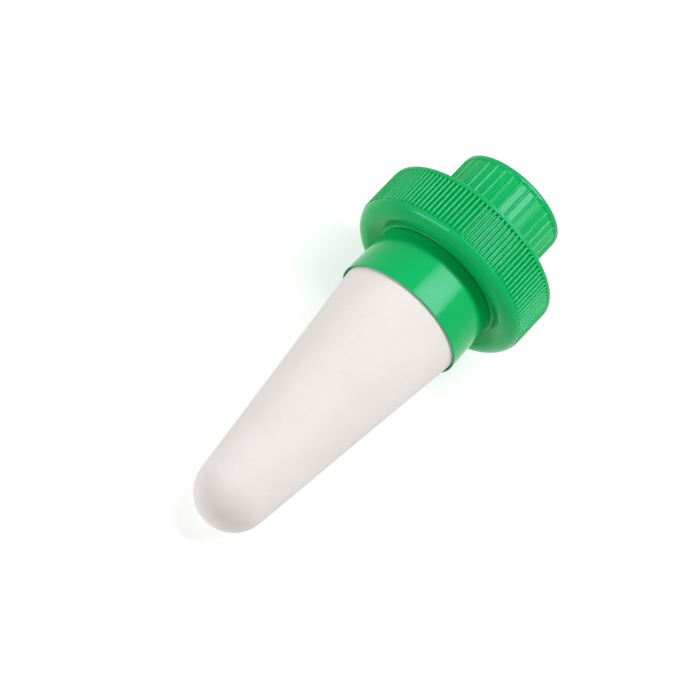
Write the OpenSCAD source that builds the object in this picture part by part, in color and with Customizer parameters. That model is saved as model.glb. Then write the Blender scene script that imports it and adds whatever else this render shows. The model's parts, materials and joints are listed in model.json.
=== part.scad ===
// Self watering spike: a hollow porous ceramic cone that is pushed into the soil, with a
// moulded head that holds an upturned water bottle. The head has two sockets on one axis,
// a narrow one for small bottles and a wide one round it for wide-mouthed bottles.
// The cone's tip is at the origin and +Z runs up the axis to the mouth of the narrow socket.

/* [Ceramic cone] */
// Length from the tip to the collar's rim
cone_len = 72.8; // [50:0.1:110]
// Outside diameter at the collar's rim
cone_rim_d = 34; // [32:0.1:38]
// Radius of the round tip
cone_tip_r = 9.9; // [7:0.1:12]
// Thickness of the fired wall
cone_wall = 3.6; // [2.4:0.1:4.6]
// Thickness of the wall at the mouth
mouth_wall = 3; // [2:0.1:4]
// Step inwards from the cone's face to its mouth, inside the collar
mouth_step = 1.25; // [0.8:0.05:2]

/* [Collar] */
// Height of the collar from its rim to the seat ring of the wide socket's underside
collar_h = 13.7; // [9:0.1:24]
// Thickness of the lip at the rim
lip_t = 0.35; // [0.3:0.05:0.8]
// Open gap between the lip and the ceramic
lip_gap = 0.3; // [0.15:0.05:0.5]
// Depth of the lip, from the rim to the step inside it
lip_depth = 1.4; // [1:0.1:2.4]
// How much the collar narrows from its rim to its top, on the radius
collar_draft = 0.5; // [0:0.05:1]
// Thickness of the roof over the cone's mouth
roof_t = 2.2; // [1.4:0.1:3]
// Thickness of the cement round the mouth
cement_t = 0.3; // [0.2:0.05:0.4]

/* [Threaded neck and hub] */
// Outside diameter of the collar's neck
neck_d = 21.2; // [18:0.1:22]
// Height of the neck above the collar's shoulder
neck_h = 8.7; // [8.1:0.1:12]
// Diameter of the water passage
passage_d = 16; // [12:0.1:16.4]
// Wall of the hub that screws onto the neck
hub_wall = 2.5; // [1.8:0.1:2.8]
// Thickness of the flange at the hub's top
hub_flange_t = 1.6; // [1.2:0.1:2.4]

/* [Wide socket] */
// Diameter of the socket's inner wall
wide_bore_d = 47.5; // [44:0.1:54]
// Thickness of the wall behind the ribs
wide_wall = 1.4; // [1.1:0.1:2]
// Height of the socket over its seat ring
wide_h = 14.9; // [12:0.1:20]
// Thickness of the floor over the hollow of the underside
wide_floor_t = 1.7; // [1.2:0.1:3]
// Radius of the rounded lower corner
wide_corner_r = 4; // [3:0.1:5]
// Width of the flat seat ring, which rests on the soil
seat_w = 0.7; // [0.4:0.1:2]
// How far the underside is hollowed, from the seat ring up to the collar
hollow_h = 1.5; // [1:0.1:2.4]
// Radius of the curve where the hollow underside meets the collar
flare_r = 0.5; // [0.3:0.1:1]
// Number of grip ribs
wide_ribs = 120; // [60:2:140]
// How far the ribs stand out of the wall
wide_rib_h = 0.35; // [0.2:0.05:0.5]
// Width of a rib, as a round bar's diameter
wide_rib_w = 0.84; // [0.6:0.02:0.96]
// Height of the ribs' lower ends over the seat ring
wide_rib_foot = 2.8; // [2.4:0.1:5]
// Height of the smooth lip above the ribs
wide_lip_h = 1.2; // [0.8:0.1:2]

/* [Narrow socket] */
// Diameter of the socket's inner wall, which takes a 28 mm bottle neck
narrow_bore_d = 27.8; // [27:0.1:29]
// Thickness of the wall behind the ribs
narrow_wall = 1; // [0.8:0.1:1.4]
// How far the socket stands above the wide one
narrow_rise = 16.4; // [12:0.1:22]
// Step inwards from the bore to the washer's pocket
pocket_step = 0.4; // [0.2:0.05:0.8]
// Thickness of the web between the socket and its skirt
web_t = 1.8; // [1.2:0.1:2.6]
// Number of grip ribs
narrow_ribs = 36; // [18:2:60]
// How far the ribs stand out of the wall
narrow_rib_h = 0.3; // [0.2:0.05:0.4]
// Width of a rib, as a round bar's diameter
narrow_rib_w = 0.7; // [0.5:0.02:0.9]
// Height of the smooth lip above the ribs
narrow_lip_h = 1.3; // [0.8:0.1:2]

/* [Seals] */
// Thickness of the seal between the neck and the hub
neck_seal_t = 1.5; // [1:0.1:2]
// Thickness of the seal between the hub and the narrow socket
hub_seal_t = 1.2; // [0.8:0.1:2]
// Thickness of the washer that a wide bottle's lip presses on
wide_washer_t = 1.6; // [1:0.1:2.4]
// Thickness of the washer that a narrow bottle's lip presses on
narrow_washer_t = 1.5; // [1:0.1:2.4]

/* [Fits] */
// Radial clearance of a screwed joint
screw_clear = 0.05; // [0.02:0.01:0.1]
// Radial clearance of the cement to the cone and the collar
bond_clear = 0.03; // [0.02:0.01:0.05]
// Radial clearance of the seals and washers to the walls round them
seal_clear = 0.3; // [0.2:0.05:0.4]
// Gap of the seam between the collar's shoulder and the hub
seam_gap = 0.15; // [0.1:0.05:0.3]
// Rounding of the sockets' rims
rim_round = 0.35; // [0.1:0.05:0.45]

/* [Hidden] */
$fn = 120;

green = "#12B562";
white_clay = "#EFEAE6";
grey_rubber = "#3A3D3E";
pale_cement = "#D9D4C8";

// How far a cutting solid runs past the face that it cuts
over = 1;
// Sides of the small round bars that make the ribs
rib_fn = 24;

// Heights along the axis
rim_z = cone_len;
seat_z = rim_z + collar_h;
hub_foot_z = seat_z + hollow_h - flare_r;
shoulder_z = hub_foot_z - seam_gap;
roof_z = shoulder_z - roof_t;
neck_top_z = shoulder_z + neck_h;
flange_z = neck_top_z + neck_seal_t;
hub_top_z = flange_z + hub_flange_t;
web_z = hub_top_z + hub_seal_t;
narrow_floor_z = web_z + web_t;
wide_floor_z = seat_z + hollow_h + wide_floor_t;
wide_top_z = seat_z + wide_h;
narrow_top_z = wide_top_z + narrow_rise;
skirt_z = wide_floor_z + seal_clear;

// Radii of the cone, from its axis
cone_rim_r = cone_rim_d / 2;
rim_dist = norm([cone_rim_r, rim_z - cone_tip_r]);
cone_slope = acos(cone_tip_r / rim_dist) - atan2(rim_z - cone_tip_r, cone_rim_r);
step_z = rim_z + lip_depth;
ledge_z = step_z - cement_t;
ledge_r = cone_rim_r + (ledge_z - rim_z) * tan(cone_slope);
mouth_r = cone_rim_r - mouth_step;
hollow_r = mouth_r - mouth_wall;

// Radii of the collar
lip_in_r = ledge_r + lip_gap;
collar_rim_r = lip_in_r + lip_t;
collar_top_r = collar_rim_r - collar_draft;
collar_bore_r = mouth_r + cement_t;
passage_r = passage_d / 2;
neck_r = neck_d / 2;

// Radii of the two sockets
hub_bore_r = neck_r + screw_clear;
hub_r = hub_bore_r + hub_wall;
hub_foot_r = collar_top_r;
wide_bore_r = wide_bore_d / 2;
wide_wall_r = wide_bore_r + wide_wall;
wide_crest_r = wide_wall_r + wide_rib_h;
seat_out_r = wide_crest_r - wide_corner_r;
seat_in_r = seat_out_r - seat_w;
skirt_bore_r = hub_r + screw_clear;
narrow_bore_r = narrow_bore_d / 2;
narrow_wall_r = narrow_bore_r + narrow_wall;
narrow_crest_r = narrow_wall_r + narrow_rib_h;
pocket_r = narrow_bore_r - pocket_step;

// Half section of the cone's outside, from the tip up to height top: a round tip that runs
// into the slope without a kink, less by inset all round
module cone_section(top, inset) {
    tip_r = cone_tip_r - inset;
    blend_z = cone_tip_r - tip_r * sin(cone_slope);
    blend_r = tip_r * cos(cone_slope);
    top_r = blend_r + (top - blend_z) * tan(cone_slope);
    intersection() {
        translate([0, cone_tip_r]) circle(r = tip_r);
        square([tip_r, blend_z]);
    }
    polygon([[0, blend_z], [blend_r, blend_z], [top_r, top], [0, top]]);
}

// Flat ring from height z, with thickness t
module flat_ring(z, t, outer_r, inner_r) {
    translate([0, 0, z]) difference() {
        cylinder(r = outer_r, h = t);
        translate([0, 0, -over]) cylinder(r = inner_r, h = t + 2 * over);
    }
}

// Straight round bars on a circle, whose crests reach crest_r, from height z up to top_z
module grip_ribs(count, crest_r, width, z, top_z) {
    for (i = [0 : count - 1])
        rotate(i * 360 / count)
            translate([crest_r - width / 2, 0, z])
                cylinder(d = width, h = top_z - z, $fn = rib_fn);
}

// Half section of a disc from height z up to top, with the outer edge of its top rounded
module round_topped(r, z, top) {
    translate([0, z]) square([r, top - rim_round - z]);
    translate([0, z]) square([r - rim_round, top - z]);
    translate([r - rim_round, top - rim_round]) circle(r = rim_round);
}

// Cutter that rounds the inner edge of a bore's mouth at height top
module mouth_rounding(bore_r, top) {
    rotate_extrude() difference() {
        translate([0, top - rim_round]) square([bore_r + rim_round, rim_round + over]);
        translate([bore_r + rim_round, top - rim_round]) circle(r = rim_round);
    }
}

// Hollow cone of porous fired clay, with a narrower mouth that stands in the collar
module ceramic_cone() {
    color(white_clay) rotate_extrude() difference() {
        union() {
            cone_section(ledge_z, 0);
            translate([0, ledge_z - over]) square([mouth_r, roof_z - ledge_z + over]);
        }
        intersection() {
            cone_section(roof_z + over, cone_wall);
            square([hollow_r, roof_z + over]);
        }
    }
}

// Bead of cement between the cone's mouth and the collar, with a foot on the cone's ledge
module cone_cement() {
    color(pale_cement) {
        flat_ring(ledge_z, cement_t, ledge_r - bond_clear, mouth_r + bond_clear);
        flat_ring(ledge_z, roof_z - ledge_z, collar_bore_r - bond_clear, mouth_r + bond_clear);
    }
}

// Half section of the collar's sleeve, drafted outside, with a round-edged lip at its rim
module sleeve_section() {
    polygon([
        [lip_in_r, rim_z + lip_t / 2],
        [lip_in_r, step_z],
        [collar_bore_r, step_z],
        [collar_bore_r, shoulder_z],
        [collar_top_r, shoulder_z],
        [collar_rim_r, rim_z + lip_t / 2],
    ]);
    translate([collar_rim_r - lip_t / 2, rim_z + lip_t / 2]) circle(d = lip_t);
}

// Collar that holds the cone, with a roof over its mouth and a threaded neck on top
module cone_collar() {
    color(green) difference() {
        union() {
            rotate_extrude() sleeve_section();
            translate([0, 0, roof_z]) cylinder(r = collar_bore_r + over, h = roof_t);
            translate([0, 0, roof_z]) cylinder(r = neck_r, h = neck_top_z - roof_z);
        }
        translate([0, 0, roof_z - over]) cylinder(r = passage_r, h = neck_top_z - roof_z + 2 * over);
    }
}

// Seal that the hub's flange presses onto the neck's rim
module neck_seal() {
    color(grey_rubber)
        flat_ring(neck_top_z, neck_seal_t, hub_bore_r - seal_clear, passage_r + seal_clear);
}

// Outside of the wide socket, under its ribs' crests: a cup with a rounded lower corner
module wide_envelope() {
    rotate_extrude() {
        translate([0, seat_z]) square([seat_out_r, wide_corner_r]);
        round_topped(wide_crest_r, seat_z + wide_corner_r, wide_top_z);
        intersection() {
            translate([seat_out_r, seat_z + wide_corner_r]) circle(r = wide_corner_r);
            translate([0, seat_z]) square([wide_crest_r, wide_corner_r]);
        }
    }
}

// Cutter for the hollow underside of the wide socket and the foot of its hub: the underside
// slopes up from the seat ring and runs into the curve at the collar without a kink
module underside_hollow() {
    curve_r = hub_foot_r + flare_r;
    run = seat_in_r - curve_r;
    rise = hub_foot_z - seat_z;
    slope = atan2(rise, run) + asin(flare_r / norm([run, rise]));
    rotate_extrude() {
        translate([curve_r, hub_foot_z]) circle(r = flare_r);
        polygon([
            [0, seat_z - over],
            [seat_in_r, seat_z - over],
            [seat_in_r, seat_z],
            [curve_r + flare_r * sin(slope), hub_foot_z + flare_r * cos(slope)],
            [curve_r, hub_foot_z],
            [0, hub_foot_z],
        ]);
    }
}

// Wide socket: a ribbed cup with a threaded hub in its middle that screws onto the neck
module wide_socket() {
    rib_top_z = wide_top_z - wide_lip_h;
    color(green) difference() {
        intersection() {
            wide_envelope();
            union() {
                translate([0, 0, seat_z]) cylinder(r = wide_wall_r, h = wide_h);
                grip_ribs(wide_ribs, wide_crest_r, wide_rib_w, seat_z + wide_rib_foot,
                    rib_top_z + wide_lip_h / 2);
                translate([0, 0, rib_top_z]) cylinder(r = wide_crest_r + over, h = wide_lip_h);
            }
        }
        underside_hollow();
        difference() {
            translate([0, 0, wide_floor_z]) cylinder(r = wide_bore_r, h = wide_h);
            translate([0, 0, wide_floor_z - over]) cylinder(r = hub_r, h = hub_top_z - wide_floor_z + over);
        }
        mouth_rounding(wide_bore_r, wide_top_z);
        translate([0, 0, hub_foot_z - over]) cylinder(r = hub_bore_r, h = flange_z - hub_foot_z + over);
        translate([0, 0, flange_z - over]) cylinder(r = passage_r, h = hub_top_z - flange_z + 2 * over);
    }
}

// Washer on the wide socket's floor, round the foot of the narrow socket's skirt
module wide_washer() {
    color(grey_rubber)
        flat_ring(wide_floor_z, wide_washer_t, wide_bore_r - seal_clear, narrow_crest_r + seal_clear);
}

// Seal between the hub's flange and the web of the narrow socket
module hub_seal() {
    color(grey_rubber)
        flat_ring(hub_top_z, hub_seal_t, hub_r - seal_clear, passage_r + seal_clear);
}

// Narrow socket: a ribbed sleeve, threaded inside above its web for the bottle and below
// it for the hub
module narrow_socket() {
    rib_top_z = narrow_top_z - narrow_lip_h;
    color(green) difference() {
        intersection() {
            rotate_extrude() round_topped(narrow_crest_r, skirt_z, narrow_top_z);
            union() {
                translate([0, 0, skirt_z]) cylinder(r = narrow_wall_r, h = narrow_top_z - skirt_z);
                grip_ribs(narrow_ribs, narrow_crest_r, narrow_rib_w, skirt_z, rib_top_z);
                translate([0, 0, rib_top_z]) cylinder(r = narrow_crest_r + over, h = narrow_lip_h);
            }
        }
        translate([0, 0, narrow_floor_z]) cylinder(r = pocket_r, h = narrow_top_z);
        translate([0, 0, narrow_floor_z + narrow_washer_t]) cylinder(r = narrow_bore_r, h = narrow_top_z);
        mouth_rounding(narrow_bore_r, narrow_top_z);
        translate([0, 0, skirt_z - over]) cylinder(r = skirt_bore_r, h = web_z - skirt_z + over);
        translate([0, 0, web_z - over]) cylinder(r = passage_r, h = web_t + 2 * over);
    }
}

// Washer in the pocket on the narrow socket's web
module narrow_washer() {
    color(grey_rubber)
        flat_ring(narrow_floor_z, narrow_washer_t, pocket_r - seal_clear, passage_r + seal_clear);
}

ceramic_cone();
cone_cement();
cone_collar();
neck_seal();
wide_socket();
wide_washer();
hub_seal();
narrow_socket();
narrow_washer();
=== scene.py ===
"""Self watering spike: the detailed pieces, their finishes and the studio, round the packed frame.

The frame holds the spike upright, with the cone's tip at the origin and +Z up its axis. The camera
sees it as it lies on a table, from the tip's side. Lengths are in metres."""

import json
import math
from collections import namedtuple

import bmesh
import bpy
from bpy.props import FloatProperty, FloatVectorProperty, IntProperty, PointerProperty
from mathutils import Matrix, Vector


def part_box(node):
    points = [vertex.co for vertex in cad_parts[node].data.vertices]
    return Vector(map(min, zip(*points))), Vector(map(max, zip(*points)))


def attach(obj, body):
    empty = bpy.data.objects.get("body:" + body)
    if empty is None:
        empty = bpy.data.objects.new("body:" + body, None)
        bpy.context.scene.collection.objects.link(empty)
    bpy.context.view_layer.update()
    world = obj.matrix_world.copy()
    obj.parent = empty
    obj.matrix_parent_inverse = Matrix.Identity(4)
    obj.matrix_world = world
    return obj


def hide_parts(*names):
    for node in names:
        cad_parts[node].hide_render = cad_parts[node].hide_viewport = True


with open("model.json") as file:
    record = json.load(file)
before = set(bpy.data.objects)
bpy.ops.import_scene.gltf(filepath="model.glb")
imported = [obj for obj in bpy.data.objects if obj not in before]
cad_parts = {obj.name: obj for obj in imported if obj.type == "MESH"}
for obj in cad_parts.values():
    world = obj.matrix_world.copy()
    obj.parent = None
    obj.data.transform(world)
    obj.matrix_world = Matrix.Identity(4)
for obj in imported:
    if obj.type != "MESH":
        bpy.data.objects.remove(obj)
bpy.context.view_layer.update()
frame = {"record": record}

bl_info = {
    "name": "Self watering spike",
    "version": (1, 0, 0),
    "blender": (4, 5, 0),
    "location": "3D View > Sidebar > Spike",
    "description": "Builds the pieces of a self watering spike and the studio round them",
    "category": "Add Mesh",
}

MM = 0.001
BODY_OF = {
    node: body
    for body, nodes in frame["record"]["behaviour"]["bodies"].items()
    for node in nodes
}

# Closest that two separate points lie, and the angle from which an edge is a crease
MERGE_DISTANCE = 0.001 * MM
CREASE_ANGLE = math.radians(38)

# Roundings up to this one are drawn with fewer faces
SMALL_ROUNDING = 0.2 * MM

# Steps round the axis in which a plain piece is turned, and a finer one
ROUND_STEPS = 160
FINE_STEPS = 192

# A corner of a half section, rounded by that much, and an arc about a centre, counter-clockwise
Corner = namedtuple("Corner", "r z rounding", defaults=(0,))
Arc = namedtuple("Arc", "r z degrees steps")

# A lamp that stands so many degrees aside from the camera and above the object's middle
Softbox = namedtuple("Softbox", "name aside above width height level")


def low(node):
    """Height of a CAD node's lowest point."""
    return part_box(node)[0].z


def high(node):
    """Height of a CAD node's highest point."""
    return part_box(node)[1].z


def reach(node):
    """Largest radius of a CAD node."""
    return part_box(node)[1].x


def linear(hex_colour):
    """An sRGB hex colour as the linear colour that a shader takes."""
    channels = [int(hex_colour[i : i + 2], 16) / 255 for i in (1, 3, 5)]
    return [c / 12.92 if c <= 0.04045 else ((c + 0.055) / 1.055) ** 2.4 for c in channels] + [1]


def length(name, description, millimetres):
    """A length that a user can change."""
    return FloatProperty(
        name=name, description=description, default=millimetres * MM, min=0, unit="LENGTH"
    )


def angle(name, description, degrees):
    """An angle that a user can change."""
    return FloatProperty(
        name=name, description=description, default=math.radians(degrees), unit="ROTATION"
    )


def number(name, description, default, top=100.0):
    """A plain number that a user can change."""
    return FloatProperty(name=name, description=description, default=default, min=0, max=top)


def count(name, description, default):
    """A count that a user can change."""
    return IntProperty(name=name, description=description, default=default, min=1)


def colour(name, description, hex_colour):
    """A colour that a user can change."""
    return FloatVectorProperty(
        name=name,
        description=description,
        default=linear(hex_colour),
        size=4,
        min=0,
        max=1,
        subtype="COLOR",
    )


class SpikeCone(bpy.types.PropertyGroup):
    """Sizes of the porous cone and its cement."""

    tip_r: length("Tip radius", "Radius of the round tip", 9.9)
    wall: length("Wall", "Thickness of the fired wall", 3.6)
    rim_r: length("Rim radius", "Radius of the cone at the collar's rim", 17)
    mouth_r: length("Mouth radius", "Outer radius of the mouth inside the collar", 15.75)
    hollow_r: length("Hollow radius", "Radius of the bore in the mouth", 12.75)
    edge_r: length("Edge rounding", "Rounding of the fired edges", 0.5)
    cement_t: length("Cement", "Thickness of the cement round the mouth", 0.3)
    bond_clear: length("Bond clearance", "Clearance of the cement to the pieces it bonds", 0.03)


class SpikeCollar(bpy.types.PropertyGroup):
    """Sizes of the collar and its threaded neck."""

    lip_t: length("Lip", "Thickness of the lip at the rim", 0.35)
    lip_depth: length("Lip depth", "Depth from the rim to the step inside it", 1.4)
    draft: length("Draft", "How much the collar narrows towards its top", 0.5)
    seam_gap: length("Seam", "Gap between the shoulder and the wide socket", 0.15)
    passage_r: length("Passage radius", "Radius of the water passage", 8)
    neck_r: length("Neck radius", "Radius over the neck's thread", 10.6)
    edge_r: length("Edge rounding", "Rounding of the moulded edges", 0.15)


class SpikeThreads(bpy.types.PropertyGroup):
    """Sizes of the screw threads."""

    screw_pitch: length("Screw pitch", "Rise of the head's own threads in one turn", 3)
    screw_depth: length("Screw depth", "Depth of the head's own threads", 0.62)
    screw_w: length("Screw width", "Width of those ridges at the wall", 1.25)
    narrow_pitch: length("Narrow pitch", "Pitch of the narrow bottle's thread", 3.18)
    narrow_depth: length("Narrow depth", "Depth of the narrow bottle's thread", 1.1)
    narrow_w: length("Narrow width", "Width of that ridge at the wall", 1.75)
    narrow_turns: number("Narrow turns", "Turns of the narrow bottle's thread", 2.6)
    wide_pitch: length("Wide pitch", "Pitch of the wide bottle's thread", 4)
    wide_depth: length("Wide depth", "Depth of the wide bottle's thread", 0.95)
    wide_w: length("Wide width", "Width of that ridge at the wall", 1.9)
    wide_turns: number("Wide turns", "Turns of the wide bottle's thread", 1.6)


class SpikeWideSocket(bpy.types.PropertyGroup):
    """Sizes of the wide socket and its hub."""

    bore_r: length("Bore radius", "Radius of the inner wall", 23.75)
    wall: length("Wall", "Thickness of the wall behind the ribs", 1.4)
    corner_r: length("Corner", "Radius of the rounded lower corner", 4)
    seat_w: length("Seat", "Width of the flat seat ring", 0.7)
    hollow_h: length("Hollow", "Rise of the hollow underside from the seat ring", 1.5)
    flare_r: length("Flare", "Radius of the curve where the underside meets the collar", 0.5)
    hub_wall: length("Hub wall", "Wall of the hub", 2.5)
    flange_t: length("Flange", "Thickness of the hub's flange", 1.6)
    screw_clear: length("Screw clearance", "Radial clearance of a screwed joint", 0.05)
    lip_h: length("Lip", "Height of the smooth lip above the ribs", 1.2)
    rib_w: length("Rib width", "Width of a grip rib", 0.84)
    rib_foot: length("Rib foot", "Height of the ribs' lower ends over the seat ring", 2.8)
    groove: length("Groove", "How far the grooves between the ribs are sunk in the wall", 0.45)
    ribs: count("Ribs", "Number of grip ribs", 120)
    rib_columns: count("Rib columns", "Columns of faces for each rib and its valley", 10)
    rim_r: length("Rim rounding", "Rounding of the socket's rim", 0.35)


class SpikeNarrowSocket(bpy.types.PropertyGroup):
    """Sizes of the narrow socket and its skirt."""

    bore_r: length("Bore radius", "Radius of the inner wall", 13.9)
    wall: length("Wall", "Thickness of the wall behind the ribs", 1)
    pocket_step: length("Pocket step", "Step inwards from the bore to the washer's pocket", 0.4)
    lip_h: length("Lip", "Height of the smooth lip above the ribs", 1.3)
    lip_slope_h: length("Lip slope", "Height of the slope from the panels out to the lip", 0.35)
    rib_w: length("Rib width", "Width of a grip rib", 0.7)
    ribs: count("Ribs", "Number of grip ribs", 36)
    rib_columns: count("Rib columns", "Columns of faces for each rib and its panel", 24)
    rim_r: length("Rim rounding", "Rounding of the socket's rim", 0.35)


class SpikeSeals(bpy.types.PropertyGroup):
    """Sizes of the rubber rings."""

    clear: length("Clearance", "Radial clearance of a ring to the walls beside it", 0.3)
    edge_r: length("Edge rounding", "Rounding of the moulded edges", 0.2)


class SpikeFinish(bpy.types.PropertyGroup):
    """Colours and gloss of the materials."""

    clay: colour("Clay", "Colour of the fired clay", "#F5F0ED")
    clay_shade: colour("Clay shade", "Colour of its denser patches", "#F0EAE6")
    green: colour("Green", "Colour of the moulded green plastic", "#04BF66")
    green_shade: colour("Green shade", "Colour where its pigment is denser", "#03B65F")
    gloss: colour("Gloss", "Tint of the light that the green plastic mirrors", "#C8DAFF")
    rubber: colour("Rubber", "Colour of the sealing rubber", "#35383A")
    bloom: colour("Bloom", "Colour of the rubber's pale bloom", "#5B5E60")
    cement: colour("Cement", "Colour of the cement", "#CFC9BC")
    sand: colour("Sand", "Colour of the sand in the cement", "#BDB7A9")


class SpikeStage(bpy.types.PropertyGroup):
    """Camera, lamps and table."""

    heading: angle("Heading", "Direction of the camera round the axis", -85.3)
    tilt: angle("Tilt", "How far below the horizon of the axis the camera stands", 23.5)
    roll: angle("Roll", "Turn of the camera about its own view", 43.63)
    distance: length("Distance", "Distance from the camera to the wide socket's seat", 1073)
    focal_px: number("Focal length", "Focal length in pixels of the photograph", 4324, 9999)
    seat_px: FloatVectorProperty(
        name="Seat",
        description="Place of that seat in the photograph, in pixels",
        default=(432.7, 283),
        size=2,
    )
    plain_level: number("Plain level", "Light of the surroundings on the object", 0.35)
    key_level: number("Key level", "Brightness of the key softbox", 16.2)
    fill_level: number("Fill level", "Brightness of the fill softbox", 1.2)
    strip_level: number("Strip level", "Brightness of the strip that edges mirror", 16)


def half_section(bm, start, *moves, closed=True):
    """Draws half a section in the XZ plane with a vertex that moves along lines and arcs."""
    pen = first = bm.verts.new((start.r, 0, start.z))
    rounded = [(pen, start.rounding)]
    for move in moves:
        if isinstance(move, Arc):
            turned = bmesh.ops.spin(
                bm,
                geom=[pen],
                cent=(move.r, 0, move.z),
                axis=(0, -1, 0),
                angle=math.radians(move.degrees),
                steps=move.steps,
            )
            pen = next(e for e in turned["geom_last"] if isinstance(e, bmesh.types.BMVert))
        else:
            pen = bmesh.ops.extrude_vert_indiv(bm, verts=[pen])["verts"][0]
            pen.co = (move.r, 0, move.z)
            rounded.append((pen, move.rounding))
    if closed:
        bm.edges.new((pen, first))
    for vert, rounding in rounded:
        if rounding:
            bmesh.ops.bevel(
                bm,
                geom=[vert],
                offset=rounding,
                offset_type="OFFSET",
                segments=2 if rounding <= SMALL_ROUNDING else 4,
                profile=0.5,
                affect="VERTICES",
                material=-1,
            )


def revolve(bm, steps):
    """Turns the half section once round the Z axis and closes the seam and any pole."""
    bmesh.ops.spin(
        bm,
        geom=bm.verts[:] + bm.edges[:],
        cent=(0, 0, 0),
        axis=(0, 0, 1),
        angle=math.tau,
        steps=steps,
        use_merge=True,
    )
    bmesh.ops.remove_doubles(bm, verts=bm.verts, dist=MERGE_DISTANCE)


def revolve_ribbed(bm, ribs, columns, shape_wall):
    """Turns the half section from one rib's crest to the next, lets shape_wall raise the ribs
    there, and repeats this sector all round."""
    sector = math.tau / ribs
    bmesh.ops.spin(
        bm,
        geom=bm.verts[:] + bm.edges[:],
        cent=(0, 0, 0),
        axis=(0, 0, 1),
        angle=sector,
        steps=columns,
    )
    for vert in bm.verts:
        r = math.hypot(vert.co.x, vert.co.y)
        turn = math.atan2(vert.co.y, vert.co.x)
        new_r = shape_wall(r, min(turn, sector - turn), vert.co.z)
        vert.co.x *= new_r / r
        vert.co.y *= new_r / r
    bmesh.ops.spin(
        bm,
        geom=bm.verts[:] + bm.edges[:] + bm.faces[:],
        cent=(0, 0, 0),
        axis=(0, 0, 1),
        angle=math.tau - sector,
        steps=ribs - 1,
        use_duplicate=True,
    )
    bmesh.ops.remove_doubles(bm, verts=bm.verts, dist=MERGE_DISTANCE)


def rib_radius(crest_r, width, across):
    """Radius of a round bar's surface, at a distance across from the middle of its crest."""
    half = width / 2
    return crest_r - half + math.sqrt(half**2 - across**2) if abs(across) < half else 0


def thread_ridge(wall_r, depth, pitch, width, start_z, turns, start_turn=0):
    """A right-hand ridge on a wall, outwards, or into the bore with a negative depth. Its root
    lies a little inside the wall, and its two ends run out into the wall."""
    steps_a_turn = 72
    run_out_steps = 14
    sink = math.copysign(0.12 * MM, depth)
    crest_share = 0.42
    sunk_share = 0.1
    root_r = wall_r - sink
    crest_r = wall_r + depth
    steps = round(turns * steps_a_turn)
    corners = [
        (root_r, -width / 2),
        (crest_r, -width / 2 * crest_share),
        (crest_r, width / 2 * crest_share),
        (root_r, width / 2),
    ]
    bm = bmesh.new()
    face = bm.faces.new([bm.verts.new((r, 0, start_z + z)) for r, z in corners])
    bmesh.ops.rotate(
        bm, verts=bm.verts, cent=(0, 0, 0), matrix=Matrix.Rotation(start_turn * math.tau, 3, "Z")
    )
    bmesh.ops.spin(
        bm,
        geom=[face, *face.edges, *face.verts],
        cent=(0, 0, 0),
        axis=(0, 0, 1),
        dvec=(0, 0, pitch / steps_a_turn),
        angle=math.tau * steps / steps_a_turn,
        steps=steps,
    )
    for i, vert in enumerate(bm.verts):
        step = i // len(corners)
        share = min(1, sunk_share + min(step, steps - step) / run_out_steps)
        r = math.hypot(vert.co.x, vert.co.y)
        new_r = root_r + (r - root_r) * share
        vert.co.x *= new_r / r
        vert.co.y *= new_r / r
    return bm


def add_piece(name, node, material, *parts):
    """Makes the object of some finished meshes. It stands for a CAD node and moves with its
    body."""
    mesh = bpy.data.meshes.new(name)
    whole = bmesh.new()
    for part in parts:
        bmesh.ops.recalc_face_normals(part, faces=part.faces)
        part.to_mesh(mesh)
        whole.from_mesh(mesh)
        part.free()
    for face in whole.faces:
        face.smooth = True
    whole.to_mesh(mesh)
    whole.free()
    mesh.set_sharp_from_angle(angle=CREASE_ANGLE)
    mesh.materials.append(material)
    piece = bpy.data.objects.new(name, mesh)
    bpy.context.scene.collection.objects.link(piece)
    weigh = piece.modifiers.new("Even shading", "WEIGHTED_NORMAL")
    weigh.keep_sharp = True
    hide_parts(node)
    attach(piece, BODY_OF[node])


def add_node(tree, kind, links=None, **settings):
    """Adds a node. links gives its sockets a value or the output that feeds them."""
    node = tree.nodes.new(kind)
    for key, value in settings.items():
        setattr(node, key, value)
    for key, value in (links or {}).items():
        if isinstance(value, bpy.types.NodeSocket):
            tree.links.new(value, node.inputs[key])
        else:
            node.inputs[key].default_value = value
    return node


def grain(millimetres):
    """Texture scale at which a pattern's features are about that many millimetres across."""
    return 1 / (millimetres * MM)


# Sockets of a Mix node that blends colours, which share their names with others
MIX_A, MIX_B, MIX_RESULT = 6, 7, 2


def start_material(name):
    """An empty material with its tree, its shader and the object's own coordinates."""
    material = bpy.data.materials.new(name)
    material.use_nodes = True
    tree = material.node_tree
    shader = tree.nodes["Principled BSDF"]
    place = add_node(tree, "ShaderNodeTexCoord").outputs["Object"]
    return material, tree, shader, place


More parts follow.
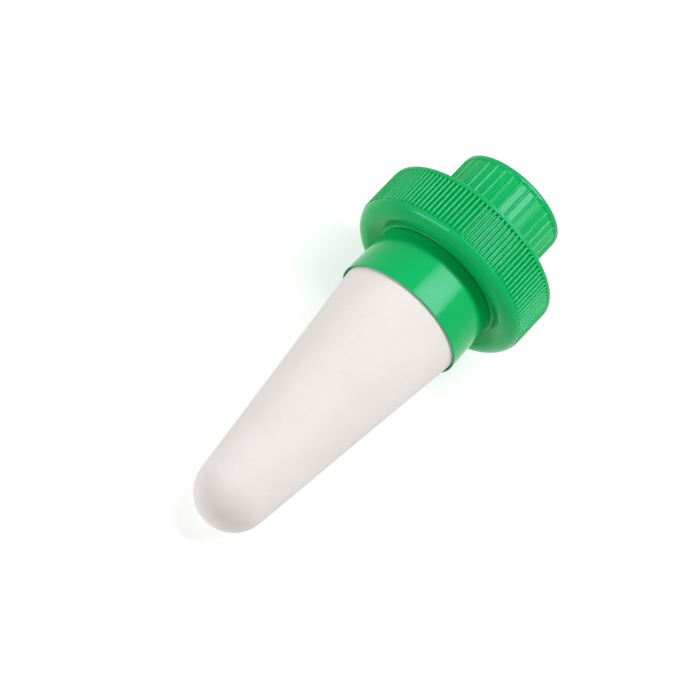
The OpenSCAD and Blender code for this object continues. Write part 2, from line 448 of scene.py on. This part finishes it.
def fired_clay(finish):
    """Unglazed slip-cast white earthenware, fired once: matt and porous, with a fine open grain,
    pin holes and a colour that drifts a little from patch to patch."""
    material, tree, shader, place = start_material("unglazed_white_earthenware")
    patches = add_node(
        tree, "ShaderNodeTexNoise", {"Vector": place, "Scale": grain(14), "Detail": 3}
    )
    specks = add_node(
        tree, "ShaderNodeTexNoise", {"Vector": place, "Scale": grain(0.9), "Detail": 4}
    )
    tone = add_node(
        tree,
        "ShaderNodeMath",
        {0: specks.outputs["Fac"], 1: 0.35, 2: patches.outputs["Fac"]},
        operation="MULTIPLY_ADD",
    )
    spread = add_node(
        tree,
        "ShaderNodeMapRange",
        {"Value": tone.outputs[0], "From Min": 0.5, "From Max": 0.85},
    )
    body = add_node(
        tree,
        "ShaderNodeMix",
        {
            "Factor": spread.outputs["Result"],
            MIX_A: finish.clay,
            MIX_B: finish.clay_shade,
        },
        data_type="RGBA",
    )
    tree.links.new(body.outputs[MIX_RESULT], shader.inputs["Base Color"])

    # Open grain of the fired surface, drawn coarse enough to show, and larger pin holes
    fine = add_node(
        tree, "ShaderNodeTexNoise", {"Vector": place, "Scale": grain(0.5), "Detail": 5}
    )
    pores = add_node(tree, "ShaderNodeTexVoronoi", {"Vector": place, "Scale": grain(1.6)})
    pit = add_node(
        tree,
        "ShaderNodeMapRange",
        {"Value": pores.outputs["Distance"], "From Min": 0.02, "From Max": 0.16},
        interpolation_type="SMOOTHSTEP",
    )
    height = add_node(
        tree,
        "ShaderNodeMath",
        {0: pit.outputs["Result"], 1: 0.6, 2: fine.outputs["Fac"]},
        operation="MULTIPLY_ADD",
    )
    bump = add_node(
        tree,
        "ShaderNodeBump",
        {"Height": height.outputs[0], "Strength": 0.35, "Distance": 0.05 * MM},
    )
    tree.links.new(bump.outputs["Normal"], shader.inputs["Normal"])
    rough = add_node(
        tree,
        "ShaderNodeMapRange",
        {"Value": fine.outputs["Fac"], "To Min": 0.82, "To Max": 0.95},
    )
    tree.links.new(rough.outputs["Result"], shader.inputs["Roughness"])
    shader.inputs["IOR"].default_value = 1.5
    shader.inputs["Specular IOR Level"].default_value = 0.25
    return material


def moulded_polypropylene(finish):
    """Injection-moulded green polypropylene: glossy from a polished mould, with the faint waviness
    of the cooled skin and a pigment that drifts slightly."""
    name = "moulded_green_polypropylene"
    if name in bpy.data.materials:
        return bpy.data.materials[name]
    material, tree, shader, place = start_material(name)
    drift = add_node(
        tree, "ShaderNodeTexNoise", {"Vector": place, "Scale": grain(9), "Detail": 2}
    )
    pigment = add_node(
        tree,
        "ShaderNodeMix",
        {"Factor": drift.outputs["Fac"], MIX_A: finish.green, MIX_B: finish.green_shade},
        data_type="RGBA",
    )
    tree.links.new(pigment.outputs[MIX_RESULT], shader.inputs["Base Color"])
    skin = add_node(
        tree, "ShaderNodeTexNoise", {"Vector": place, "Scale": grain(2.2), "Detail": 2}
    )
    bump = add_node(
        tree,
        "ShaderNodeBump",
        {"Height": skin.outputs["Fac"], "Strength": 0.12, "Distance": 0.03 * MM},
    )
    tree.links.new(bump.outputs["Normal"], shader.inputs["Normal"])
    rough = add_node(
        tree,
        "ShaderNodeMapRange",
        {"Value": skin.outputs["Fac"], "To Min": 0.13, "To Max": 0.18},
    )
    tree.links.new(rough.outputs["Result"], shader.inputs["Roughness"])
    shader.inputs["IOR"].default_value = 1.49
    shader.inputs["Specular IOR Level"].default_value = 0.18
    shader.inputs["Specular Tint"].default_value = finish.gloss
    return material


def sealing_rubber(finish):
    """Moulded sealing rubber: matt, dark grey, with a fine texture and a pale bloom."""
    name = "moulded_sealing_rubber"
    if name in bpy.data.materials:
        return bpy.data.materials[name]
    material, tree, shader, place = start_material(name)
    bloom = add_node(
        tree, "ShaderNodeTexNoise", {"Vector": place, "Scale": grain(4), "Detail": 4}
    )
    spread = add_node(
        tree,
        "ShaderNodeMapRange",
        {"Value": bloom.outputs["Fac"], "From Min": 0.45, "From Max": 0.8, "To Max": 0.25},
    )
    skin = add_node(
        tree,
        "ShaderNodeMix",
        {
            "Factor": spread.outputs["Result"],
            MIX_A: finish.rubber,
            MIX_B: finish.bloom,
        },
        data_type="RGBA",
    )
    tree.links.new(skin.outputs[MIX_RESULT], shader.inputs["Base Color"])
    fine = add_node(
        tree, "ShaderNodeTexNoise", {"Vector": place, "Scale": grain(0.35), "Detail": 3}
    )
    bump = add_node(
        tree,
        "ShaderNodeBump",
        {"Height": fine.outputs["Fac"], "Strength": 0.3, "Distance": 0.03 * MM},
    )
    tree.links.new(bump.outputs["Normal"], shader.inputs["Normal"])
    rough = add_node(
        tree,
        "ShaderNodeMapRange",
        {"Value": fine.outputs["Fac"], "To Min": 0.55, "To Max": 0.72},
    )
    tree.links.new(rough.outputs["Result"], shader.inputs["Roughness"])
    return material


def set_cement(finish):
    """Set cement paste: matt and sandy, pale grey."""
    material, tree, shader, place = start_material("set_cement_paste")
    sand = add_node(
        tree, "ShaderNodeTexNoise", {"Vector": place, "Scale": grain(0.6), "Detail": 4}
    )
    paste = add_node(
        tree,
        "ShaderNodeMix",
        {"Factor": sand.outputs["Fac"], MIX_A: finish.cement, MIX_B: finish.sand},
        data_type="RGBA",
    )
    tree.links.new(paste.outputs[MIX_RESULT], shader.inputs["Base Color"])
    bump = add_node(
        tree,
        "ShaderNodeBump",
        {"Height": sand.outputs["Fac"], "Strength": 0.6, "Distance": 0.08 * MM},
    )
    tree.links.new(bump.outputs["Normal"], shader.inputs["Normal"])
    rough = add_node(
        tree,
        "ShaderNodeMapRange",
        {"Value": sand.outputs["Fac"], "To Min": 0.85, "To Max": 1},
    )
    tree.links.new(rough.outputs["Result"], shader.inputs["Roughness"])
    return material


def hub_foot(wide):
    """Height of the hub's foot, at which the curve of the hollow underside is centred."""
    return low("wide_socket") + wide.hollow_h - wide.flare_r


def cone_slope(cone, rim_z):
    """Angle of the cone's side to the axis, at which it leaves the round tip without a kink."""
    rise = rim_z - cone.tip_r
    return math.acos(cone.tip_r / math.hypot(cone.rim_r, rise)) - math.atan2(rise, cone.rim_r)


class SPIKE_OT_cone(bpy.types.Operator):
    """Builds the hollow porous cone"""

    bl_idname = "spike.cone"
    bl_label = "Porous cone"

    def execute(self, context):
        cone = context.scene.spike_cone
        rim_z = low("cone_collar")
        ledge_z = low("cone_cement")
        top_z = high("ceramic_cone")
        slope = cone_slope(cone, rim_z)
        arc_degrees = 90 - math.degrees(slope)
        inner_tip_r = cone.tip_r - cone.wall
        inner_blend_z = cone.tip_r - inner_tip_r * math.sin(slope)
        inner_blend_r = inner_tip_r * math.cos(slope)
        hollow_z = inner_blend_z + (cone.hollow_r - inner_blend_r) / math.tan(slope)
        bm = bmesh.new()
        half_section(
            bm,
            Corner(0, 0),
            Arc(0, cone.tip_r, arc_degrees, steps=28),
            Corner(reach("ceramic_cone"), ledge_z, cone.edge_r / 2),
            Corner(cone.mouth_r, ledge_z, cone.edge_r / 2),
            Corner(cone.mouth_r, top_z, cone.edge_r),
            Corner(cone.hollow_r, top_z, cone.edge_r),
            Corner(cone.hollow_r, hollow_z),
            Corner(inner_blend_r, inner_blend_z),
            Arc(0, cone.tip_r, -arc_degrees, steps=16),
            closed=False,
        )
        revolve(bm, ROUND_STEPS)
        material = fired_clay(context.scene.spike_finish)
        add_piece("fired_clay_cone", "ceramic_cone", material, bm)
        return {"FINISHED"}


class SPIKE_OT_cement(bpy.types.Operator):
    """Builds the cement bead between the cone and the collar"""

    bl_idname = "spike.cement"
    bl_label = "Cement bead"

    def execute(self, context):
        cone = context.scene.spike_cone
        inner_r = cone.mouth_r + cone.bond_clear
        outer_r = cone.mouth_r + cone.cement_t - cone.bond_clear
        foot_r = reach("cone_cement")
        foot_z = low("cone_cement")
        foot_top_z = foot_z + cone.cement_t
        top_z = high("cone_cement")
        edge_r = 0.1 * MM
        bm = bmesh.new()
        half_section(
            bm,
            Corner(inner_r, foot_z),
            Corner(foot_r, foot_z, edge_r),
            Corner(foot_r, foot_top_z, edge_r),
            Corner(outer_r, foot_top_z, edge_r),
            Corner(outer_r, top_z),
            Corner(inner_r, top_z),
        )
        revolve(bm, ROUND_STEPS)
        add_piece("cement_bead", "cone_cement", set_cement(context.scene.spike_finish), bm)
        return {"FINISHED"}


class SPIKE_OT_collar(bpy.types.Operator):
    """Builds the collar with its threaded neck"""

    bl_idname = "spike.collar"
    bl_label = "Collar"

    def execute(self, context):
        collar = context.scene.spike_collar
        cone = context.scene.spike_cone
        threads = context.scene.spike_threads
        rim_z = low("cone_collar")
        rim_r = reach("cone_collar")
        shoulder_z = hub_foot(context.scene.spike_wide_socket) - collar.seam_gap
        roof_z = high("ceramic_cone")
        neck_top_z = high("cone_collar")
        root_r = collar.neck_r - threads.screw_depth
        bore_r = cone.mouth_r + cone.cement_t
        step_z = rim_z + collar.lip_depth
        edge_r = collar.edge_r
        bm = bmesh.new()
        half_section(
            bm,
            Corner(rim_r - collar.lip_t, rim_z, edge_r),
            Corner(rim_r, rim_z, edge_r),
            Corner(rim_r - collar.draft, shoulder_z, edge_r),
            Corner(root_r, shoulder_z, edge_r),
            Corner(root_r, neck_top_z, 2 * edge_r),
            Corner(collar.passage_r, neck_top_z, 2 * edge_r),
            Corner(collar.passage_r, roof_z, 2 * edge_r),
            Corner(bore_r, roof_z),
            Corner(bore_r, step_z, edge_r),
            Corner(rim_r - collar.lip_t, step_z),
        )
        revolve(bm, FINE_STEPS)
        thread_z = shoulder_z + threads.screw_w
        turns = (neck_top_z - threads.screw_w / 2 - thread_z) / threads.screw_pitch
        neck_thread = thread_ridge(
            root_r,
            threads.screw_depth,
            threads.screw_pitch,
            threads.screw_w,
            thread_z,
            turns,
        )
        material = moulded_polypropylene(context.scene.spike_finish)
        add_piece("collar_moulding", "cone_collar", material, bm, neck_thread)
        return {"FINISHED"}


class SPIKE_OT_wide_socket(bpy.types.Operator):
    """Builds the wide socket with its ribs, its threads and the hub in its middle"""

    bl_idname = "spike.wide_socket"
    bl_label = "Wide socket"

    def execute(self, context):
        wide = context.scene.spike_wide_socket
        collar = context.scene.spike_collar
        threads = context.scene.spike_threads
        crest_r = reach("wide_socket")
        wall_r = wide.bore_r + wide.wall
        seat_z = low("wide_socket")
        seat_out_r = crest_r - wide.corner_r
        seat_in_r = seat_out_r - wide.seat_w
        foot_z = hub_foot(wide)
        foot_r = reach("cone_collar") - collar.draft
        curve_r = foot_r + wide.flare_r
        corner_z = seat_z + wide.corner_r
        floor_z = low("wide_washer")
        top_z = high("wide_socket")
        rib_foot_z = seat_z + wide.rib_foot
        rib_top_z = top_z - wide.lip_h
        hub_bore_r = collar.neck_r + wide.screw_clear
        hub_r = hub_bore_r + wide.hub_wall
        hub_root_r = hub_r - threads.screw_depth
        hub_top_z = low("hub_seal")
        flange_z = hub_top_z - wide.flange_t
        edge_r = collar.edge_r

        # The underside slopes from the seat ring into the curve at the collar without a kink
        run = seat_in_r - curve_r
        rise = foot_z - seat_z
        slope = math.atan2(rise, run) + math.asin(wide.flare_r / math.hypot(run, rise))

        # The corner's arc stops where it meets the wall behind the ribs
        wall_degrees = math.degrees(math.asin((wall_r - seat_out_r) / wide.corner_r))

        # The ribs start over this height, and take so many rows to follow the corner
        rib_start_h = 0.1 * MM
        rib_rows = 4
        row_h = (corner_z - rib_foot_z) / rib_rows
        bm = bmesh.new()
        half_section(
            bm,
            Corner(hub_bore_r, foot_z, edge_r),
            Corner(foot_r, foot_z),
            Arc(curve_r, foot_z, -90 - math.degrees(slope), steps=8),
            Corner(seat_in_r, seat_z, edge_r),
            Corner(seat_out_r, seat_z),
            Arc(seat_out_r, corner_z, wall_degrees, steps=16),
            Corner(wall_r, rib_foot_z - rib_start_h),
            *[Corner(wall_r, rib_foot_z + row_h * i) for i in range(rib_rows + 1)],
            Corner(wall_r, rib_top_z, edge_r),
            Corner(crest_r, rib_top_z, edge_r),
            Corner(crest_r, top_z, wide.rim_r),
            Corner(wide.bore_r, top_z, wide.rim_r),
            Corner(wide.bore_r, floor_z, edge_r),
            Corner(hub_root_r, floor_z, edge_r),
            Corner(hub_root_r, hub_top_z, edge_r),
            Corner(collar.passage_r, hub_top_z, edge_r),
            Corner(collar.passage_r, flange_z, edge_r),
            Corner(hub_bore_r, flange_z, edge_r),
        )

        def shape_wall(r, turn, z):
            """Raises the ribs, which fade out in the rounded corner, and sinks the grooves."""
            outside = r > wall_r - MERGE_DISTANCE
            if not outside or not rib_foot_z - MERGE_DISTANCE < z < rib_top_z + MERGE_DISTANCE:
                return r
            across = wall_r * turn
            if across > wide.rib_w / 2:
                return r - wide.groove if r < wall_r + MERGE_DISTANCE else r
            corner_r = seat_out_r + math.sqrt(wide.corner_r**2 - max(0, corner_z - z) ** 2)
            return max(r, min(corner_r, rib_radius(crest_r, wide.rib_w, across)))

        revolve_ribbed(bm, wide.ribs, wide.rib_columns, shape_wall)

        # The bore's ridge starts half a turn from the neck's, so it runs between its turns
        pitch = threads.screw_pitch
        bore_thread_z = foot_z + threads.screw_w / 2
        neck_thread_z = foot_z - collar.seam_gap + threads.screw_w
        bore_thread = thread_ridge(
            hub_bore_r,
            -threads.screw_depth,
            pitch,
            threads.screw_w,
            bore_thread_z,
            (flange_z - threads.screw_w / 2 - bore_thread_z) / pitch,
            (bore_thread_z - neck_thread_z) / pitch + 0.5,
        )
        hub_thread_z = floor_z + threads.screw_w
        hub_thread = thread_ridge(
            hub_root_r,
            threads.screw_depth,
            pitch,
            threads.screw_w,
            hub_thread_z,
            (hub_top_z - threads.screw_w / 2 - hub_thread_z) / pitch,
        )
        bottle_thread = thread_ridge(
            wide.bore_r,
            -threads.wide_depth,
            threads.wide_pitch,
            threads.wide_w,
            top_z - threads.wide_w - threads.wide_turns * threads.wide_pitch,
            threads.wide_turns,
        )
        material = moulded_polypropylene(context.scene.spike_finish)
        parts = (bm, bore_thread, hub_thread, bottle_thread)
        add_piece("wide_socket_moulding", "wide_socket", material, *parts)
        return {"FINISHED"}


class SPIKE_OT_narrow_socket(bpy.types.Operator):
    """Builds the narrow socket with its ribs, its threads and its skirt"""

    bl_idname = "spike.narrow_socket"
    bl_label = "Narrow socket"

    def execute(self, context):
        narrow = context.scene.spike_narrow_socket
        wide = context.scene.spike_wide_socket
        collar = context.scene.spike_collar
        threads = context.scene.spike_threads
        crest_r = reach("narrow_socket")
        wall_r = narrow.bore_r + narrow.wall
        skirt_z = low("narrow_socket")
        top_z = high("narrow_socket")
        rib_top_z = top_z - narrow.lip_h
        hub_r = collar.neck_r + wide.screw_clear + wide.hub_wall
        skirt_bore_r = hub_r + wide.screw_clear
        web_z = high("hub_seal")
        floor_z = low("narrow_washer")
        ledge_z = high("narrow_washer")
        pocket_r = narrow.bore_r - narrow.pocket_step
        edge_r = collar.edge_r
        bm = bmesh.new()
        half_section(
            bm,
            Corner(skirt_bore_r, skirt_z, edge_r),
            Corner(wall_r, skirt_z),
            Corner(wall_r, rib_top_z - narrow.lip_slope_h, edge_r),
            Corner(crest_r, rib_top_z, edge_r),
            Corner(crest_r, top_z, narrow.rim_r),
            Corner(narrow.bore_r, top_z, narrow.rim_r),
            Corner(narrow.bore_r, ledge_z, edge_r),
            Corner(pocket_r, ledge_z, edge_r),
            Corner(pocket_r, floor_z, edge_r),
            Corner(collar.passage_r, floor_z, edge_r),
            Corner(collar.passage_r, web_z, edge_r),
            Corner(skirt_bore_r, web_z, edge_r),
        )
        half_panel = math.pi / narrow.ribs

        def shape_wall(r, turn, z):
            """Raises the ribs and flattens the panels between them."""
            if r < wall_r - MERGE_DISTANCE or z > rib_top_z + MERGE_DISTANCE:
                return r
            flat = math.cos(half_panel) / math.cos(half_panel - turn)
            panel_r = r * flat if r < wall_r + MERGE_DISTANCE else r
            return max(panel_r, rib_radius(crest_r, narrow.rib_w, r * turn))

        revolve_ribbed(bm, narrow.ribs, narrow.rib_columns, shape_wall)

        # The skirt's ridge starts half a turn from the hub's, so it runs between its turns
        pitch = threads.screw_pitch
        skirt_thread_z = skirt_z + threads.screw_w / 2
        hub_thread_z = low("wide_washer") + threads.screw_w
        skirt_thread = thread_ridge(
            skirt_bore_r,
            -threads.screw_depth,
            pitch,
            threads.screw_w,
            skirt_thread_z,
            (web_z - threads.screw_w / 2 - skirt_thread_z) / pitch,
            (skirt_thread_z - hub_thread_z) / pitch + 0.5,
        )
        bottle_thread = thread_ridge(
            narrow.bore_r,
            -threads.narrow_depth,
            threads.narrow_pitch,
            threads.narrow_w,
            top_z - threads.narrow_w - threads.narrow_turns * threads.narrow_pitch,
            threads.narrow_turns,
        )
        material = moulded_polypropylene(context.scene.spike_finish)
        parts = (bm, skirt_thread, bottle_thread)
        add_piece("narrow_socket_moulding", "narrow_socket", material, *parts)
        return {"FINISHED"}


class SPIKE_OT_seals(bpy.types.Operator):
    """Builds the four flat rubber rings"""

    bl_idname = "spike.seals"
    bl_label = "Seals and washers"

    def execute(self, context):
        seals = context.scene.spike_seals
        passage_r = context.scene.spike_collar.passage_r
        inner_radii = {
            "neck_seal": passage_r,
            "hub_seal": passage_r,
            "narrow_washer": passage_r,
            "wide_washer": reach("narrow_socket"),
        }
        for node, beside_r in inner_radii.items():
            inner_r = beside_r + seals.clear
            outer_r = reach(node)
            bm = bmesh.new()
            half_section(
                bm,
                Corner(inner_r, low(node), seals.edge_r),
                Corner(outer_r, low(node), seals.edge_r),
                Corner(outer_r, high(node), seals.edge_r),
                Corner(inner_r, high(node), seals.edge_r),
            )
            revolve(bm, ROUND_STEPS)
            material = sealing_rubber(context.scene.spike_finish)
            add_piece("rubber_" + node, node, material, bm)
        return {"FINISHED"}


def add_softbox(softbox, heading):
    """A rectangular area light that shines at the object's middle. Its level is the brightness
    of its face, where 1 is white."""
    middle = Vector((0, 0, 60 * MM))
    distance = 800 * MM
    lamp = bpy.data.lights.new(softbox.name, "AREA")
    lamp.shape = "RECTANGLE"
    lamp.size = softbox.width
    lamp.size_y = softbox.height
    lamp.energy = softbox.level * math.pi * softbox.width * softbox.height
    direction = towards(heading + math.radians(softbox.aside), math.radians(softbox.above))
    box = bpy.data.objects.new(softbox.name, lamp)
    box.rotation_mode = "QUATERNION"
    box.rotation_quaternion = direction.to_track_quat("Z", "Y")
    box.location = middle + direction * distance
    box.visible_camera = False
    bpy.context.scene.collection.objects.link(box)
    return box


def shows_background(tree):
    """Output that is 1 for the rays that see the background: camera, glossy and transmission."""
    path = add_node(tree, "ShaderNodeLightPath")
    glossy = add_node(
        tree,
        "ShaderNodeMath",
        {0: path.outputs["Is Camera Ray"], 1: path.outputs["Is Glossy Ray"]},
        operation="MAXIMUM",
    )
    through = add_node(
        tree,
        "ShaderNodeMath",
        {0: glossy.outputs[0], 1: path.outputs["Is Transmission Ray"]},
        operation="MAXIMUM",
    )
    return through.outputs[0]


def towards(heading, elevation):
    """Unit vector at a heading round the axis and an elevation over its horizon."""
    return Vector(
        (
            math.cos(heading) * math.cos(elevation),
            math.sin(heading) * math.cos(elevation),
            math.sin(elevation),
        )
    )


class SPIKE_OT_stage(bpy.types.Operator):
    """Sets the camera, the softboxes, the surroundings and the white table"""

    bl_idname = "spike.stage"
    bl_label = "Studio"

    def execute(self, context):
        stage = context.scene.spike_stage
        self.add_camera(context, stage)
        self.add_lamps(stage)
        self.add_surroundings(context, stage)
        self.add_table(context, stage)
        return {"FINISHED"}

    def add_camera(self, context, stage):
        seat = Vector((0, 0, low("wide_socket")))
        back = towards(stage.heading, -stage.tilt)
        turn = back.to_track_quat("Z", "Y").to_matrix() @ Matrix.Rotation(stage.roll, 3, "Z")
        image_size = 700
        sensor = 36
        right = (stage.seat_px[0] - image_size / 2) / stage.focal_px * stage.distance
        down = (stage.seat_px[1] - image_size / 2) / stage.focal_px * stage.distance
        offset = turn @ Vector((-right, down, stage.distance))
        data = bpy.data.cameras.new("camera")
        data.sensor_width = sensor
        data.lens = sensor * stage.focal_px / image_size
        data.clip_start = 0.01
        data.clip_end = 20
        camera = bpy.data.objects.new("camera", data)
        context.scene.collection.objects.link(camera)
        camera.matrix_world = Matrix.Translation(seat + offset) @ turn.to_4x4()
        context.scene.camera = camera

    def add_lamps(self, stage):
        key = Softbox("key_softbox", 14, 27, width=0.72, height=0.13, level=stage.key_level)
        add_softbox(key, stage.heading)
        fill = Softbox("fill_softbox", -70, -30, width=0.75, height=0.75, level=stage.fill_level)
        add_softbox(fill, stage.heading)

        # The strip lights nothing, and is only mirrored as a thin streak on the plastic's edges
        strip = Softbox("edge_strip", -58, -37, width=0.68, height=0.09, level=stage.strip_level)
        add_softbox(strip, stage.heading).visible_diffuse = False

    def add_surroundings(self, context, stage):
        world = bpy.data.worlds.new("studio")
        world.use_nodes = True
        context.scene.world = world
        tree = world.node_tree
        background = tree.nodes["Background"]
        background.inputs["Color"].default_value = (1, 1, 1, 1)
        level = add_node(
            tree,
            "ShaderNodeMapRange",
            {"Value": shows_background(tree), "To Min": stage.plain_level, "To Max": 1},
        )
        tree.links.new(level.outputs["Result"], background.inputs["Strength"])

    def add_table(self, context, stage):
        """The spike lies on its round tip and on the wide socket's corner, away from the
        camera."""
        cone = context.scene.spike_cone
        wide = context.scene.spike_wide_socket
        half_width = 1.2
        side = Vector((math.cos(stage.heading), math.sin(stage.heading), 0))
        up = Vector((0, 0, 1))
        corner = up * (low("wide_socket") + wide.corner_r)
        corner -= side * (reach("wide_socket") - wide.corner_r)
        tip = up * cone.tip_r
        apart = tip - corner
        lean = math.acos((cone.tip_r - wide.corner_r) / apart.length)
        lean -= math.atan2(-apart.z, apart.dot(side))
        normal = side * math.cos(lean) + up * math.sin(lean)
        bm = bmesh.new()
        bmesh.ops.create_grid(bm, x_segments=1, y_segments=1, size=half_width)
        bmesh.ops.transform(
            bm, matrix=normal.to_track_quat("Z", "Y").to_matrix().to_4x4(), verts=bm.verts
        )
        bmesh.ops.translate(bm, vec=tip - normal * cone.tip_r, verts=bm.verts)
        mesh = bpy.data.meshes.new("table")
        bm.to_mesh(mesh)
        bm.free()
        mesh.materials.append(self.white_card())
        table = bpy.data.objects.new("table", mesh)
        context.scene.collection.objects.link(table)

    def white_card(self):
        """White card that is seen through from behind. Its glow in the picture and the light that
        it sends back add up to white, and the rest of its glow softens the object's shadow."""
        glow_in_picture = 0.68
        glow_on_object = 0.5
        material = bpy.data.materials.new("white_card")
        material.use_nodes = True
        tree = material.node_tree
        tree.nodes.clear()
        card = add_node(
            tree, "ShaderNodeBsdfDiffuse", {"Color": linear("#B8B8B8"), "Roughness": 0}
        )
        lift = add_node(
            tree,
            "ShaderNodeMapRange",
            {
                "Value": shows_background(tree),
                "To Min": glow_on_object,
                "To Max": glow_in_picture,
            },
        )
        glow = add_node(tree, "ShaderNodeEmission", {"Strength": lift.outputs[0]})
        front = add_node(tree, "ShaderNodeAddShader", {0: card.outputs[0], 1: glow.outputs[0]})
        behind = add_node(tree, "ShaderNodeBsdfTransparent")
        sides = add_node(
            tree,
            "ShaderNodeMixShader",
            {
                0: add_node(tree, "ShaderNodeNewGeometry").outputs["Backfacing"],
                1: front.outputs[0],
                2: behind.outputs[0],
            },
        )
        add_node(tree, "ShaderNodeOutputMaterial", {"Surface": sides.outputs[0]})
        return material


SETTINGS = {
    "spike_cone": SpikeCone,
    "spike_collar": SpikeCollar,
    "spike_threads": SpikeThreads,
    "spike_wide_socket": SpikeWideSocket,
    "spike_narrow_socket": SpikeNarrowSocket,
    "spike_seals": SpikeSeals,
    "spike_finish": SpikeFinish,
    "spike_stage": SpikeStage,
}
OPERATORS = [
    SPIKE_OT_cone,
    SPIKE_OT_cement,
    SPIKE_OT_collar,
    SPIKE_OT_wide_socket,
    SPIKE_OT_narrow_socket,
    SPIKE_OT_seals,
    SPIKE_OT_stage,
]


class SPIKE_PT_panel(bpy.types.Panel):
    """Lists the pieces and their sizes in the sidebar"""

    bl_label = "Self watering spike"
    bl_idname = "SPIKE_PT_panel"
    bl_space_type = "VIEW_3D"
    bl_region_type = "UI"
    bl_category = "Spike"

    def draw(self, context):
        for operator in OPERATORS:
            self.layout.operator(operator.bl_idname)
        for name, group in SETTINGS.items():
            box = self.layout.box()
            box.label(text=group.__doc__)
            for field in group.__annotations__:
                box.prop(getattr(context.scene, name), field)


def register():
    """Registers the classes and puts the settings on the scene."""
    for group in SETTINGS.values():
        bpy.utils.register_class(group)
    for name, group in SETTINGS.items():
        setattr(bpy.types.Scene, name, PointerProperty(type=group))
    for operator in OPERATORS:
        bpy.utils.register_class(operator)
    bpy.utils.register_class(SPIKE_PT_panel)


def unregister():
    """Takes away what register added."""
    bpy.utils.unregister_class(SPIKE_PT_panel)
    for operator in reversed(OPERATORS):
        bpy.utils.unregister_class(operator)
    for name in SETTINGS:
        delattr(bpy.types.Scene, name)
    for group in SETTINGS.values():
        bpy.utils.unregister_class(group)


def main():
    """Builds the pieces and the studio."""
    register()
    bpy.context.scene.view_settings.view_transform = "Standard"
    bpy.ops.spike.cone()
    bpy.ops.spike.cement()
    bpy.ops.spike.collar()
    bpy.ops.spike.wide_socket()
    bpy.ops.spike.narrow_socket()
    bpy.ops.spike.seals()
    bpy.ops.spike.stage()


if __name__ == "__main__":
    main()
